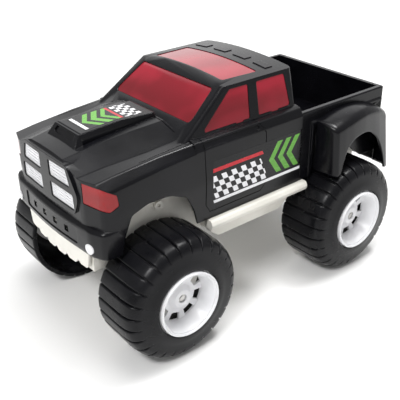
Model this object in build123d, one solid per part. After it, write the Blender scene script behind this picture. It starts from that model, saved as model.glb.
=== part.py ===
from build123d import *
from functools import cache
from math import acos, cos, hypot, pi, radians, sin, sqrt, tan
import os

# A toy monster pickup truck, in millimetres.
# X runs across the truck, with the truck's left side at +X. -Y is its front, Z is up.
# The origin is on the ground, at the middle of the truck's length and width.
# An outline is a list of corners (u, v) or (u, v, r), where r rounds that corner.

# Driving dimensions of the whole toy
LENGTH = 400.0
WHEELBASE = 250.0
TYRE_R = 67.0
HUB_Z = TYRE_R
FRONT_Y = -LENGTH / 2
REAR_Y = LENGTH / 2
AXLE_Y = {"front": -WHEELBASE / 2, "rear": WHEELBASE / 2}
SIDE_SIGN = {"left": 1, "right": -1}
WALL = 2.5
PANE_GAP = 0.15
BELOW = 10.0
ABOVE = 300.0
REACH = 400.0

# Body shell heights
SILL_Z = 122.0
BUMPER_TOP_Z = 152.0
BED_FLOOR_Z = 152.0
BED_HALF = 80.5
BED_FRONT_Y = 68.0
BED_REAR_Y = 195.0

# Body shell sections, right half of each
# columns: station y, sill x, waist x, shoulder x z, crest x z, valley x z, panel x z, crown z
WAIST_Z = 165.0
CORNER_R = {"crown": 480.0, "panel": 3.0, "valley": 6.0, "crest": 4.0, "shoulder": 6.0, "waist": 60.0, "sill": 1.5}
NOSE_SECTIONS = [
    (-202.0, 86.0, 90.0, 87.0, 188.0, 77.0, 196.5, 55.0, 197.0, 31.0, 206.5, 207.5),
    (-165.0, 87.5, 91.0, 88.5, 193.0, 78.5, 201.5, 60.0, 202.0, 33.0, 212.5, 214.0),
    (-120.0, 87.5, 91.0, 88.5, 198.0, 80.0, 206.0, 63.0, 204.5, 34.5, 216.5, 218.0),
    (-82.0, 87.5, 90.0, 88.0, 200.0, 82.0, 208.0, 66.0, 209.5, 36.0, 218.5, 219.5),
]
SIDE_SECTIONS = [
    (-82.0, 87.5, 90.0, 88.0, 200.0, 84.5, 208.0, 79.5, 209.5, 74.0, 210.5, 211.5),
    (63.0, 87.0, 89.0, 88.0, 200.0, 84.5, 208.0, 79.5, 209.5, 74.0, 210.5, 211.5),
]
BED_SECTION = [(0.0, 202.0), (86.0, 202.0, 1.8), (86.0, SILL_Z), (0.0, SILL_Z)]

# Plan of the bumper and of the nose above it, right half of each
BUMPER_PLAN = [(0.0, FRONT_Y - 1.4, 500.0), (72.0, -196.0, 30.0), (86.0, -190.0, 8.0), (91.5, -176.0, 6.0)]
NOSE_PLAN = [(0.0, -196.0, 900.0), (60.0, -194.0, 30.0), (84.0, -186.0, 12.0), (91.5, -170.0, 8.0)]
# Bumper levels: z and how far its plan is drawn in there
BUMPER_LEVELS = [(SILL_Z, 1.5), (125.0, 0.0), (147.5, 0.0), (150.5, 1.0), (BUMPER_TOP_Z, 3.5)]
# Side view of the hood's front edge
NOSE_SIDE = [(-196.0, 0.0), (-196.0, 211.0, 14.0), (-165.0, 218.5), (-60.0, 232.0), (-60.0, 0.0)]

# Raised grille surround and its four pads
SURROUND = [(0.0, 206.0), (42.0, 206.0, 7.0), (58.5, 178.0, 14.0), (49.0, 158.0, 9.0), (0.0, 157.0)]
SURROUND_PROUD = 2.2
# columns: inner x, outer x at the top, outer x at the bottom, z of the top, z of the bottom
GRILLE_PADS = [(8.5, 40.0, 45.5, 202.0, 185.0), (8.5, 49.0, 50.0, 179.0, 163.0)]
PAD_CORNER_R = 2.0
PAD_RIBS = 5
RIB_DEPTH = 0.9
RIB_GAP = 1.3
PAD_EDGE = 1.8
PAD_PROUD = -0.8

# Bumper intake: half width, bottom, top, and the square holes in it
INTAKE = (51.0, 128.0, 146.0)
INTAKE_DEPTH = 1.0
HOLE_X = [-31.5, -10.5, 10.5, 31.5]
HOLE_Z = 137.0
HOLE_SIZE = 6.5

# Lamps: y and z of the headlight opening, and the fog lamp's place
HEADLIGHT = [(-205.0, 197.0), (-186.0, 194.5, 3.0), (-173.0, 187.0, 3.0), (-172.0, 177.0, 3.0), (-180.0, 170.5, 3.0),
             (-205.0, 178.5)]
HEADLIGHT_IN_X = 61.5
FOG_X = 70.0
FOG_Z = 131.0
FOG_R = 5.5

# Hood scoop: side view, and its cross-section
SCOOP_SIDE = [(-178.0, 200.0), (-177.5, 211.0), (-170.0, 222.0, 1.5), (-120.0, 224.5, 60.0), (-84.0, 222.5, 2.0),
              (-80.0, 216.0), (-80.0, 200.0)]
SCOOP_SECTION = [(-28.5, 205.0), (-20.5, 226.0), (20.5, 226.0), (28.5, 205.0)]
SCOOP_MOUTH_DEPTH = 1.4
SCOOP_MOUTH = [(-18.5, 215.0, 1.5), (-16.5, 220.5, 1.5), (16.5, 220.5, 1.5), (18.5, 215.0, 1.5)]

# Cab: the planes of its sides meet the roof's edge here
CAB_FOOT_Z = 204.0
CAB_TOP_Z = 258.0
ROOF_EDGE_Z = 250.0
ROOF_CROWN_Z = 254.5
ROOF_SIDE_Z = 246.5
CAB_SIDE_SLOPE = 0.2
SCREEN_SLOPE = 4.0 / 3.0
CAB_BACK_SLOPE = 0.06
CAB_SIDE_X = 69.0
SCREEN_TOP_Y = -34.0
CAB_BACK_Y = 61.0
CAB_EDGE_R = 5.0
ROOF_R = 4.0
PAD_X = [-48.0, -16.0, 16.0, 48.0]
PAD_Y = 39.0
ROOF_PAD = (19.0, 10.0, 0.8)

# Window openings
SCREEN_TOP = (58.5, 247.0, 3.0)
SCREEN_FOOT = (65.5, 220.5, 4.0)
SUNROOF_FRONT = (56.0, -24.0, 3.0)
SUNROOF_REAR = (58.0, 22.0, 3.0)
SIDE_WINDOWS = [
    [(-26.0, 246.0, 3.0), (-1.5, 246.0, 2.0), (-3.5, 211.8, 2.0), (-62.5, 211.8, 1.5), (-62.5, 215.5, 2.0)],
    [(10.0, 246.0, 2.0), (49.0, 246.0, 3.0), (54.0, 211.8, 3.0), (9.0, 211.8, 2.0)],
]
# y and width of the snap tab under each side window
TABS = [(-17.0, 10.0), (32.0, 10.0)]
TAB_Z = 210.6
BACK_WINDOW = [(50.0, 243.0, 3.0), (54.0, 216.0, 3.0)]
PANE_SET_BACK = 0.6
LINER = 1.6
LINER_FOOT_Z = 210.6

# Front wheel arch, y from the axle and z
FRONT_ARCH = [(-50.0, 105.0), (-42.5, 143.0, 20.0), (-35.5, 162.5, 6.0), (-17.0, 168.5, 20.0), (8.0, 168.0, 24.0),
              (29.0, 158.5, 12.0), (38.0, 141.0, 20.0), (48.0, 105.0)]

# Rear flare: plan, then x and z of its face, then its arch and the well behind it
FLARE_ROOT_X = 86.0
FLARE_FOOT_Z = 108.0
FLARE_PLAN = [(86.0, 78.5), (108.0, 79.5, 9.0), (119.5, 95.0, 30.0), (119.5, 176.0, 30.0), (111.0, 196.5, 8.0),
              (86.0, 197.5)]
FLARE_FACE = [(119.5, 128.0, 40.0), (112.5, 176.0, 8.0), (98.0, 187.5, 12.0), (86.0, 189.5)]
REAR_ARCH = [(-52.0, 100.0), (-46.0, 119.0, 4.0), (-36.0, 130.0, 8.0), (-31.0, 152.0, 16.0), (-10.0, 168.0, 24.0),
             (22.0, 168.0, 24.0), (42.0, 145.0, 20.0), (60.0, 100.0)]
REAR_WELL = [(-64.0, 100.0), (-42.0, 127.0), (-20.0, 141.0), (20.0, 141.0), (45.0, 122.0), (64.0, 100.0)]

# Moulded lines of the shell
LINE = 0.9
LINE_DEPTH = 0.9
DOOR = [(-72.5, 230.0), (-72.5, 140.0), (-67.0, 131.0), (4.0, 131.0), (9.5, 137.0), (9.5, 197.0), (0.0, 212.0),
        (0.0, 230.0)]
HOOD_LINE_X = 76.0
HOOD_LINE = (-140.0, -84.0)
CAB_GAP = (62.8, 65.0)
CHANNEL = [(-70.5, 201.3), (-70.5, 206.7), (1.0, 206.7, 2.6), (1.0, 201.3, 2.6)]
TAILGATE = [(74.0, 230.0), (74.0, 150.0, 4.0), (-74.0, 150.0, 4.0), (-74.0, 230.0)]

# Chassis
WELL_X = 60.0
PAN_X = 77.0
PAN_SIDE = [(-60.0, 140.0), (-57.0, 99.0, 8.0), (-46.0, 90.0, 6.0), (44.0, 90.0, 6.0), (57.0, 99.0, 8.0), (60.0, 140.0)]
SPINE_Z = 97.0
SPINE_END = 188.0
SPINE_TOP_Z = 120.0
WELL_TOP_Z = {"front": 165.0, "rear": 149.0}
WELL_SPAN = (-42.0, 58.0)
WELL_R = 12.0
WELL_BOSS = (64.0, -111.5, 144.0, 5.0)
BOARD_SECTION = [(82.0, 112.0, 2.0), (82.0, 122.0, 2.0), (92.5, 122.0, 3.5), (94.5, 116.5, 3.0), (92.0, 111.0, 3.0)]
BOARD_SPAN = (-68.5, 70.0)
SKID_HALF = 61.0
SKID_TOP_Z = 121.5
SKID_LOW_Z = 97.5
SCALLOPS = 6
SCALLOP_DROP = 4.0
SKID_RISE = 5.0
BEARING_X = 44.0
BEARING_R = 11.0
BEARING_WIDTH = 15.0
POSTS = [(44.0, -158.0), (44.0, 96.0)]
POST_R = 4.5
SCREW_R = 1.4
SCREW_PLAY = 0.3
SCREW_HEAD = (3.2, 1.8)
SCREW_TOP_Z = 116.0

# Wheels: x from the truck's middle for the left side, and radius
TYRE_IN_X = 68.0
TYRE_LIP_X = 128.5
TYRE_LIP_R = 35.8
LUGS = 28
LUG_SHARE = 0.66
LUG_SLOPE = 0.05
# columns: x, radius of the lugs' tops, radius between them
TREAD_RINGS = [(TYRE_IN_X, 67.0, 64.0), (106.0, 67.0, 62.6), (115.0, 65.6, 61.8), (120.5, 63.2, 59.6),
               (125.0, 56.0, 53.5)]
# columns: x, radius
SIDEWALL_RINGS = [(112.0, 52.0), (124.6, 54.0), (125.6, 47.0), (TYRE_LIP_X, 42.0)]
CAVITY_RINGS = [(60.0, 60.5), (111.0, 60.5), (118.0, 57.0), (122.5, 50.0)]
RIM_OUT_X = 130.5
RIM_R = 34.6
RIM_DISH = [(130.5, 33.4), (128.3, 32.6), (127.0, 31.6), (111.0, 27.6)]
RIM_FACE_X = 111.0
RIM_BACK_X = 108.5
RIM_FLANGE_X = (119.0, 122.0)
RIM_FLANGE_R = 43.5
RIM_BOSS_X = 116.5
RIM_BOSS_R = (13.5, 9.5)
RIM_WINDOWS = 8
RIM_WINDOW_R = (18.5, 26.3)
RIM_WINDOW_SPREAD = 13.0
RIM_WINDOW_TURN = 0.6
HUB_TUBE_X = 73.0
HUB_TUBE_R = 6.5
HUB_POCKET_X = 112.5
HUB_POCKET_R = 4.6
AXLE_R = 2.5
AXLE_CAP_R = 4.2
AXLE_CLEARANCE = 0.05


def edges_of(corners, place):
    """Edges of a closed outline, with an arc at each corner that has a radius."""
    count = len(corners)
    turns = []
    for index in range(count):
        u, v = corners[index][:2]
        r = corners[index][2] if len(corners[index]) > 2 else 0.0
        if r == 0.0:
            turns.append(((u, v), None, (u, v)))
            continue
        last = corners[index - 1]
        following = corners[(index + 1) % count]
        back = Vector(last[0] - u, last[1] - v).normalized()
        ahead = Vector(following[0] - u, following[1] - v).normalized()
        half = acos(max(-1.0, min(1.0, back.dot(ahead)))) / 2
        reach = r / tan(half)
        middle = (back + ahead).normalized() * (r / sin(half) - r)
        turns.append((
            (u + back.X * reach, v + back.Y * reach),
            (u + middle.X, v + middle.Y),
            (u + ahead.X * reach, v + ahead.Y * reach),
        ))
    edges = []
    for index in range(count):
        start, middle, end = turns[index]
        if middle:
            edges.append(ThreePointArc(place(start), place(middle), place(end)))
        target = turns[(index + 1) % count][0]
        if hypot(target[0] - end[0], target[1] - end[1]) > 1e-4:
            edges.append(Line(place(end), place(target)))
    return edges


def prism_x(corners, x0, x1):
    """Extrude an outline of (y, z) corners along X."""
    return extrude(make_face(edges_of(corners, lambda p: (x0, p[0], p[1]))), x1 - x0, dir=(1, 0, 0))


def prism_y(corners, y0, y1):
    """Extrude an outline of (x, z) corners along Y."""
    return extrude(make_face(edges_of(corners, lambda p: (p[0], y0, p[1]))), y1 - y0, dir=(0, 1, 0))


def prism_z(corners, z0, z1):
    """Extrude an outline of (x, y) corners along Z."""
    return extrude(make_face(edges_of(corners, lambda p: (p[0], p[1], z0))), z1 - z0, dir=(0, 0, 1))


def box(x0, x1, y0, y1, z0, z1):
    return Pos((x0 + x1) / 2, (y0 + y1) / 2, (z0 + z1) / 2) * Box(x1 - x0, y1 - y0, z1 - z0)


def rod_x(x0, x1, y, z, r):
    return Pos((x0 + x1) / 2, y, z) * Rot(0, 90, 0) * Cylinder(r, x1 - x0)


def rod_z(x, y, z0, z1, r):
    return Pos(x, y, (z0 + z1) / 2) * Cylinder(r, z1 - z0)


def both_sides(left):
    return left + mirror(left, about=Plane.YZ)


def mirrored(corners):
    """Whole outline from its right half."""
    left = [(-corner[0],) + tuple(corner[1:]) for corner in reversed(corners) if abs(corner[0]) > 1e-9]
    return list(corners) + left


def shrunk(corners, gap):
    """Move every side of a convex outline inwards by the gap, and its radii with it."""
    count = len(corners)
    following = corners[1:] + corners[:1]
    area = sum(a[0] * b[1] - b[0] * a[1] for a, b in zip(corners, following))
    turn = gap if area > 0 else -gap
    sides = []
    for a, b in zip(corners, following):
        along = Vector(b[0] - a[0], b[1] - a[1]).normalized()
        sides.append((a[0] - along.Y * turn, a[1] + along.X * turn, along.X, along.Y))
    moved = []
    for index in range(count):
        u0, v0, du, dv = sides[index - 1]
        u1, v1, eu, ev = sides[index]
        step = ((u1 - u0) * ev - (v1 - v0) * eu) / (du * ev - dv * eu)
        r = corners[index][2] if len(corners[index]) > 2 else 0.0
        moved.append((u0 + du * step, v0 + dv * step, max(r - gap, 0.0)))
    return moved


def section_face(row, inset):
    """One cross-section of the shell, drawn in by the inset."""
    (y, sill_x, waist_x, shoulder_x, shoulder_z, crest_x, crest_z, valley_x, valley_z,
     panel_x, panel_z, crown_z) = row
    foot_z = SILL_Z - (BELOW if inset else 0.0)
    half = [
        (0.0, crown_z - inset, CORNER_R["crown"]),
        (panel_x - inset / 2, panel_z - inset, CORNER_R["panel"]),
        (valley_x - inset / 2, valley_z - inset, CORNER_R["valley"]),
        (crest_x - inset, crest_z - inset, CORNER_R["crest"]),
        (shoulder_x - inset, shoulder_z - inset / 2, CORNER_R["shoulder"]),
        (waist_x - inset, WAIST_Z, CORNER_R["waist"]),
        (sill_x - inset, foot_z, CORNER_R["sill"]),
        (0.0, foot_z),
    ]
    whole = half + [(-corner[0],) + tuple(corner[1:]) for corner in reversed(half[1:-1])]
    return make_face(edges_of(whole, lambda p: (p[0], y, p[1])))


def tapered(rows, inset):
    """Ruled lofts through a run of cross-sections."""
    faces = [section_face(row, inset) for row in rows]
    solid = loft(faces[:2], ruled=True)
    for first, second in zip(faces[1:], faces[2:]):
        solid = solid + loft([first, second], ruled=True)
    return solid


def plan_outline(plan, inset):
    """Whole plan of the nose, moved back by the inset, with a long straight body behind it."""
    half = [(x - inset if x else 0.0, y + inset, r) for x, y, r in plan]
    return mirrored(half + [(half[-1][0], REACH)])


def plan_prism(plan, inset, z0=0.0, z1=ABOVE):
    return prism_z(plan_outline(plan, inset), z0, z1)


@cache
def bumper_block(inset):
    """Bumper as ruled lofts between levels of its plan, rounded at its top and bottom."""
    levels = [(z - inset if z > HOLE_Z else z - (BELOW if inset else 0.0), drawn + inset) for z, drawn in BUMPER_LEVELS]
    faces = [make_face(edges_of(plan_outline(BUMPER_PLAN, drawn), lambda p: (p[0], p[1], z))) for z, drawn in levels]
    solid = loft(faces[:2], ruled=True)
    for first, second in zip(faces[1:], faces[2:]):
        solid = solid + loft([first, second], ruled=True)
    return solid


@cache
def nose(inset):
    """Hood and fenders above the bumper."""
    side = [(corner[0] + inset if corner[0] < -190 else corner[0], corner[1] - inset) + tuple(corner[2:])
            for corner in NOSE_SIDE]
    body = tapered(NOSE_SECTIONS, inset) & plan_prism(NOSE_PLAN, inset)
    return body & prism_x(side, -REACH, REACH)


@cache
def lower_body(inset):
    """Nose, bumper, doors and bed as one closed form."""
    bumper = tapered(NOSE_SECTIONS, inset) & bumper_block(inset)
    sides = tapered(SIDE_SECTIONS, inset)
    drop = BELOW if inset else 0.0
    section = [(max(corner[0] - inset, 0.0), corner[1] - (drop if corner[1] < 150 else inset)) + tuple(corner[2:])
               for corner in BED_SECTION]
    bed = prism_y(mirrored(section), 60.0, REAR_Y - inset)
    return bumper + nose(inset) + sides + bed


@cache
def cab(inset, foot_z=CAB_FOOT_Z):
    """Cab as a frustum with rounded corners under a crowned roof."""
    def ring(z):
        up = ROOF_EDGE_Z - z
        half = CAB_SIDE_X + CAB_SIDE_SLOPE * up - inset
        front = SCREEN_TOP_Y - SCREEN_SLOPE * up + inset * sqrt(1 + SCREEN_SLOPE**2)
        back = CAB_BACK_Y + CAB_BACK_SLOPE * up - inset
        r = max(CAB_EDGE_R - inset, 1.0)
        corners = [(half, front, r), (half, back, r), (-half, back, r), (-half, front, r)]
        return make_face(edges_of(corners, lambda p: (p[0], p[1], z)))

    frustum = loft([ring(foot_z), ring(CAB_TOP_Z)], ruled=True)
    edge = 90.0
    crown = [(-edge, 100.0), (-edge, ROOF_SIDE_Z - inset), (edge, ROOF_SIDE_Z - inset), (edge, 100.0)]
    dome = ThreePointArc((-edge, -200, ROOF_SIDE_Z - inset), (0, -200, ROOF_CROWN_Z - inset),
                         (edge, -200, ROOF_SIDE_Z - inset))
    walls = Polyline([(x, -200, z) for x, z in (crown[3], crown[0])])
    sides = [Line((-edge, -200, 100.0), (-edge, -200, ROOF_SIDE_Z - inset)),
             Line((edge, -200, ROOF_SIDE_Z - inset), (edge, -200, 100.0))]
    return frustum & extrude(make_face([dome, walls] + sides), 400, dir=(0, 1, 0))


def flare(inset):
    """Bulge over the left rear wheel, from the bed's side outwards."""
    foot = FLARE_FOOT_Z - (BELOW if inset else 0.0)
    face = [(corner[0] - inset if corner[0] > FLARE_ROOT_X else corner[0], corner[1] - inset) + tuple(corner[2:])
            for corner in FLARE_FACE]
    plan = [(corner[0] - inset if corner[0] > FLARE_ROOT_X else corner[0],
             corner[1] + (inset if corner[1] < AXLE_Y["rear"] else -inset)) + tuple(corner[2:])
            for corner in FLARE_PLAN]
    section = [(FLARE_ROOT_X, foot), (face[0][0], foot)] + face
    return prism_y(section, 60, 220) & prism_z(plan, 50, 250)


def scoop(inset):
    """Raised intake along the middle of the hood."""
    side = prism_x(shrunk(SCOOP_SIDE, inset), -40, 40)
    return side & prism_y(shrunk(SCOOP_SECTION, inset), -REACH, REACH)


def window_cutters(gap):
    """Prisms that cut the window openings, smaller by the gap for the panes."""
    cutters = [
        prism_y(shrunk(mirrored([SCREEN_TOP, SCREEN_FOOT]), gap), -120, -20),
        prism_z(shrunk(mirrored([SUNROOF_FRONT, SUNROOF_REAR]), gap), 240, 270),
        prism_y(shrunk(mirrored(BACK_WINDOW), gap), 50, 80),
    ]
    for corners, (tab_y, tab_width) in zip(SIDE_WINDOWS, TABS):
        window = prism_x(shrunk(corners, gap), 55, 100)
        tab = box(55, 100, tab_y - tab_width / 2 + gap, tab_y + tab_width / 2 - gap, TAB_Z + gap, TAB_Z + 4)
        cutters.append(both_sides(window + tab))
    return cutters


def pad_prisms(gap):
    """The four openings in the grille surround."""
    prisms = []
    for inner, top, low, z_top, z_low in GRILLE_PADS:
        corners = [(inner, z_top, PAD_CORNER_R), (top, z_top, PAD_CORNER_R), (low, z_low, PAD_CORNER_R),
                   (inner, z_low, PAD_CORNER_R)]
        prisms.append(both_sides(prism_y(shrunk(corners, gap), -205, -180)))
    return prisms


def headlight_prism(gap):
    return prism_x(shrunk(HEADLIGHT, gap), HEADLIGHT_IN_X + gap, 110)


def fog_prism(gap):
    return Pos(FOG_X, -195, FOG_Z) * Rot(90, 0, 0) * Cylinder(FOG_R - gap, 20)


def moved(corners, y):
    """Outline of (y, z) corners moved along Y."""
    return [(corner[0] + y,) + tuple(corner[1:]) for corner in corners]


def outline_groove(make, corners, low, high):
    """Thin wall of a prism, which cuts a line round an outline."""
    return make(corners, low, high) - make(shrunk(corners, LINE), low, high)


def moulded_lines():
    """Everything that is pressed into the skin by the depth of a moulded line."""
    door = outline_groove(prism_x, DOOR, 60, 120)
    channel = prism_x(CHANNEL, 60, 120)
    gap = box(60, 120, CAB_GAP[0], CAB_GAP[1], 120, 300)
    hood_line = box(HOOD_LINE_X - LINE / 2, HOOD_LINE_X + LINE / 2, HOOD_LINE[0], HOOD_LINE[1], 150, 300)
    cowl = box(-HOOD_LINE_X, HOOD_LINE_X, HOOD_LINE[1] - LINE, HOOD_LINE[1], 190, 300)
    half_width, low, high = INTAKE
    intake = prism_y(mirrored([(0.0, low), (half_width, low, 3.0), (half_width, high, 3.0), (0.0, high)]), -210, -185)
    tailgate = outline_groove(prism_y, TAILGATE, 190, 210)
    return both_sides(door + channel + gap + hood_line) + cowl + intake + tailgate


def posts():
    """Long screw posts that stand on the chassis, left side."""
    rods = Part()
    for x, y in POSTS:
        top = BED_FLOOR_Z - 1 if y > 0 else 250
        rods = rods + rod_z(x, y, SPINE_Z + WALL, top, POST_R)
    return rods


def body_shell():
    outer_low = lower_body(0.0)
    core = lower_body(LINE_DEPTH)
    surround = nose(-SURROUND_PROUD) & prism_y(mirrored(SURROUND), -210, -188)
    pads = Part()
    for x in PAD_X:
        pads = pads + box(x - ROOF_PAD[0] / 2, x + ROOF_PAD[0] / 2, PAD_Y - ROOF_PAD[1] / 2, PAD_Y + ROOF_PAD[1] / 2,
                          240, 270)
    outer = outer_low + cab(0.0) + both_sides(flare(0.0)) + surround + scoop(0.0) + (pads & cab(-ROOF_PAD[2]))
    bed_block = box(-90, 90, BED_FRONT_Y - WALL, 250, BED_FLOOR_Z - WALL, 300)
    hollow = lower_body(WALL) + cab(WALL) + scoop(WALL) - bed_block
    shell = outer - hollow - both_sides(flare(WALL))
    shell = shell - box(-BED_HALF, BED_HALF, BED_FRONT_Y, BED_REAR_Y, BED_FLOOR_Z, 300)
    shell = shell - both_sides(prism_x(moved(FRONT_ARCH, AXLE_Y["front"]), 60, 130))
    shell = shell - both_sides(prism_x(moved(REAR_ARCH, AXLE_Y["rear"]), FLARE_ROOT_X + 2, 140))
    shell = shell - both_sides(prism_x(moved(REAR_WELL, AXLE_Y["rear"]), 60, 96))
    shell = shell - (moulded_lines() & (outer_low - core))
    shell = shell - (prism_y(SCOOP_MOUTH, -190, -165) & (scoop(0.0) - scoop(SCOOP_MOUTH_DEPTH)))
    for cutter in window_cutters(0.0) + pad_prisms(0.0):
        shell = shell - cutter
    for x in HOLE_X:
        shell = shell - box(x - HOLE_SIZE / 2, x + HOLE_SIZE / 2, -210, -185, HOLE_Z - HOLE_SIZE / 2,
                            HOLE_Z + HOLE_SIZE / 2)
    shell = shell - both_sides(headlight_prism(0.0) + fog_prism(0.0))
    rods = posts()
    shell = shell + both_sides((rods & core) + (rods & box(0, 80, -200, 200, 0, 130)))
    for x, y in POSTS:
        shell = shell - both_sides(rod_z(x, y, 50, SCREW_TOP_Z + 2, SCREW_R + AXLE_CLEARANCE))
    return shell


def grille_insert():
    """White plate behind the nose with four ribbed pads that fill its openings."""
    insert = (nose(WALL) - nose(WALL + 2.0)) & box(-54, 54, -200, -180, 158, 206)
    front = nose(PAD_PROUD)
    grooves = Part()
    for (inner, top, low, z_top, z_low), prism in zip(GRILLE_PADS, pad_prisms(PANE_GAP)):
        insert = insert + (prism & front & box(-60, 60, -205, -189, 150, 210))
        pitch = (z_top - z_low) / PAD_RIBS
        for rib in range(1, PAD_RIBS):
            z = z_low + rib * pitch
            grooves = grooves + both_sides(box(inner + PAD_EDGE, min(top, low) - PAD_EDGE, -205, -190,
                                               z - RIB_GAP / 2, z + RIB_GAP / 2))
    return insert - (grooves - nose(PAD_PROUD + RIB_DEPTH))


def headlight():
    return (headlight_prism(PANE_GAP) & nose(0.4)) - nose(WALL)


def fog_lamp():
    return (fog_prism(PANE_GAP) & bumper_block(-0.8)) - bumper_block(WALL)


def window_moulding():
    """One clear red moulding inside the cab, with a pane in each opening."""
    core = cab(WALL + LINER)
    moulding = cab(WALL) - core - box(-100, 100, -200, 100, 100, LINER_FOOT_Z)
    for cutter in window_cutters(PANE_GAP):
        moulding = moulding + ((cutter & cab(PANE_SET_BACK)) - core)
    return moulding


def skid_outline():
    """Front view of the skid plate, with lobes along its lower edge."""
    corners = [(SKID_HALF, SKID_TOP_Z, 3.0), (-SKID_HALF, SKID_TOP_Z, 3.0)]
    width = 2 * SKID_HALF / SCALLOPS
    for lobe in range(SCALLOPS):
        left = -SKID_HALF + lobe * width
        low = SKID_LOW_Z + SKID_RISE * ((left + width / 2) / SKID_HALF) ** 2
        if lobe:
            corners.append((left, low + SCALLOP_DROP, 1.0))
        corners.append((left + width * 0.2, low, 4.0))
        corners.append((left + width * 0.8, low, 4.0))
    return corners


def chassis():
    outer_pan = prism_x(PAN_SIDE, -PAN_X, PAN_X) & box(-100, 100, -100, 100, 80, SPINE_TOP_Z)
    spine = box(-WELL_X, WELL_X, -SPINE_END, SPINE_END, SPINE_Z, SPINE_TOP_Z)
    board = prism_y(BOARD_SECTION, BOARD_SPAN[0], BOARD_SPAN[1]) + box(PAN_X - 1, 84, -54, 54, 113, 119)
    body = outer_pan + spine + both_sides(board)
    body = body - prism_x(shrunk(PAN_SIDE, WALL), -PAN_X + WALL, PAN_X - WALL)
    body = body - box(-WELL_X + WALL, WELL_X - WALL, -SPINE_END + WALL, SPINE_END - WALL, SPINE_Z + WALL, 300)
    for end, y in AXLE_Y.items():
        top = WELL_TOP_Z[end]
        start, stop = WELL_SPAN
        side = [(y + start, SPINE_Z), (y + start, top, WELL_R), (y + stop, top, WELL_R), (y + stop, SPINE_Z)]
        body = body + both_sides(prism_x(side, WELL_X - WALL, WELL_X))
        carrier = rod_x(BEARING_X - BEARING_WIDTH / 2, BEARING_X + BEARING_WIDTH / 2, y, HUB_Z, BEARING_R)
        leg = box(BEARING_X - BEARING_WIDTH / 2, BEARING_X + BEARING_WIDTH / 2, y - BEARING_R, y + BEARING_R, HUB_Z,
                  SPINE_Z + 1)
        body = body + both_sides(carrier + leg)
        body = body - rod_x(-100, 100, y, HUB_Z, AXLE_R)
    x, y, z, r = WELL_BOSS
    body = body + both_sides(rod_x(WELL_X - 1, x, y, z, r)) - both_sides(rod_x(x - 3, x + 1, y, z, SCREW_R))
    skid = plan_prism(BUMPER_PLAN, 4.0, 80, SKID_TOP_Z) - plan_prism(BUMPER_PLAN, 4.0 + WALL, 70, SKID_TOP_Z - WALL)
    skid = skid & prism_y(skid_outline(), -210, WALL - SPINE_END)
    body = body + skid
    for x, y in POSTS:
        body = body - both_sides(rod_z(x, y, 50, 105, SCREW_R + SCREW_PLAY))
    return body


def body_screws():
    """Screws that hold the shell's posts on the chassis."""
    screws = Part()
    for x, y in POSTS:
        head = rod_z(x, y, SPINE_Z - SCREW_HEAD[1], SPINE_Z, SCREW_HEAD[0])
        screws = screws + both_sides(head + rod_z(x, y, SPINE_Z - 1, SCREW_TOP_Z, SCREW_R))
    return screws


def axle(y):
    """Steel rod with a push-on cap at each end that keeps the rims on."""
    cap = rod_x(HUB_POCKET_X + 0.2, HUB_POCKET_X + 2.2, y, HUB_Z, AXLE_CAP_R)
    return rod_x(-HUB_POCKET_X - 3, HUB_POCKET_X + 3, y, HUB_Z, AXLE_R) + both_sides(cap)


def turned(points):
    """Solid of revolution about the wheel's axis from (x, r) points."""
    return revolve(make_face(Polyline([(x, r, 0) for x, r in points], close=True)), Axis.X)


def ring_face(x, radii, shares):
    """Polygon across the wheel's axis: one radius and one share of the lug's pitch for each corner of a lug."""
    pitch = 2 * pi / LUGS
    corners = []
    for lug in range(LUGS):
        for share, r in zip(shares, radii):
            angle = -pi / 2 + (lug + share) * pitch
            corners.append((x, r * cos(angle), r * sin(angle)))
    return make_face(Polyline(corners, close=True))


def tyre():
    """Hollow tyre on its axis, open on the inner side, with lugs that wrap the shoulder."""
    half = LUG_SHARE / 2
    shares = (-half - LUG_SLOPE, -half, half, half + LUG_SLOPE)
    flat = cos(half * 2 * pi / LUGS)
    lug_rings = [ring_face(x, (root, top / flat, top / flat, root), shares) for x, top, root in TREAD_RINGS]
    side_rings = [ring_face(x, (r / cos(pi / LUGS / 2),) * 2, (-0.25, 0.25)) for x, r in SIDEWALL_RINGS]
    hollow_rings = [ring_face(x, (r,), (0.0,)) for x, r in CAVITY_RINGS]
    opening = turned([(100, 0), (100, TYRE_LIP_R), (140, TYRE_LIP_R), (140, 0)])
    body = loft(lug_rings, ruled=True) + loft(side_rings, ruled=True)
    return body - loft(hollow_rings, ruled=True) - opening


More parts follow.
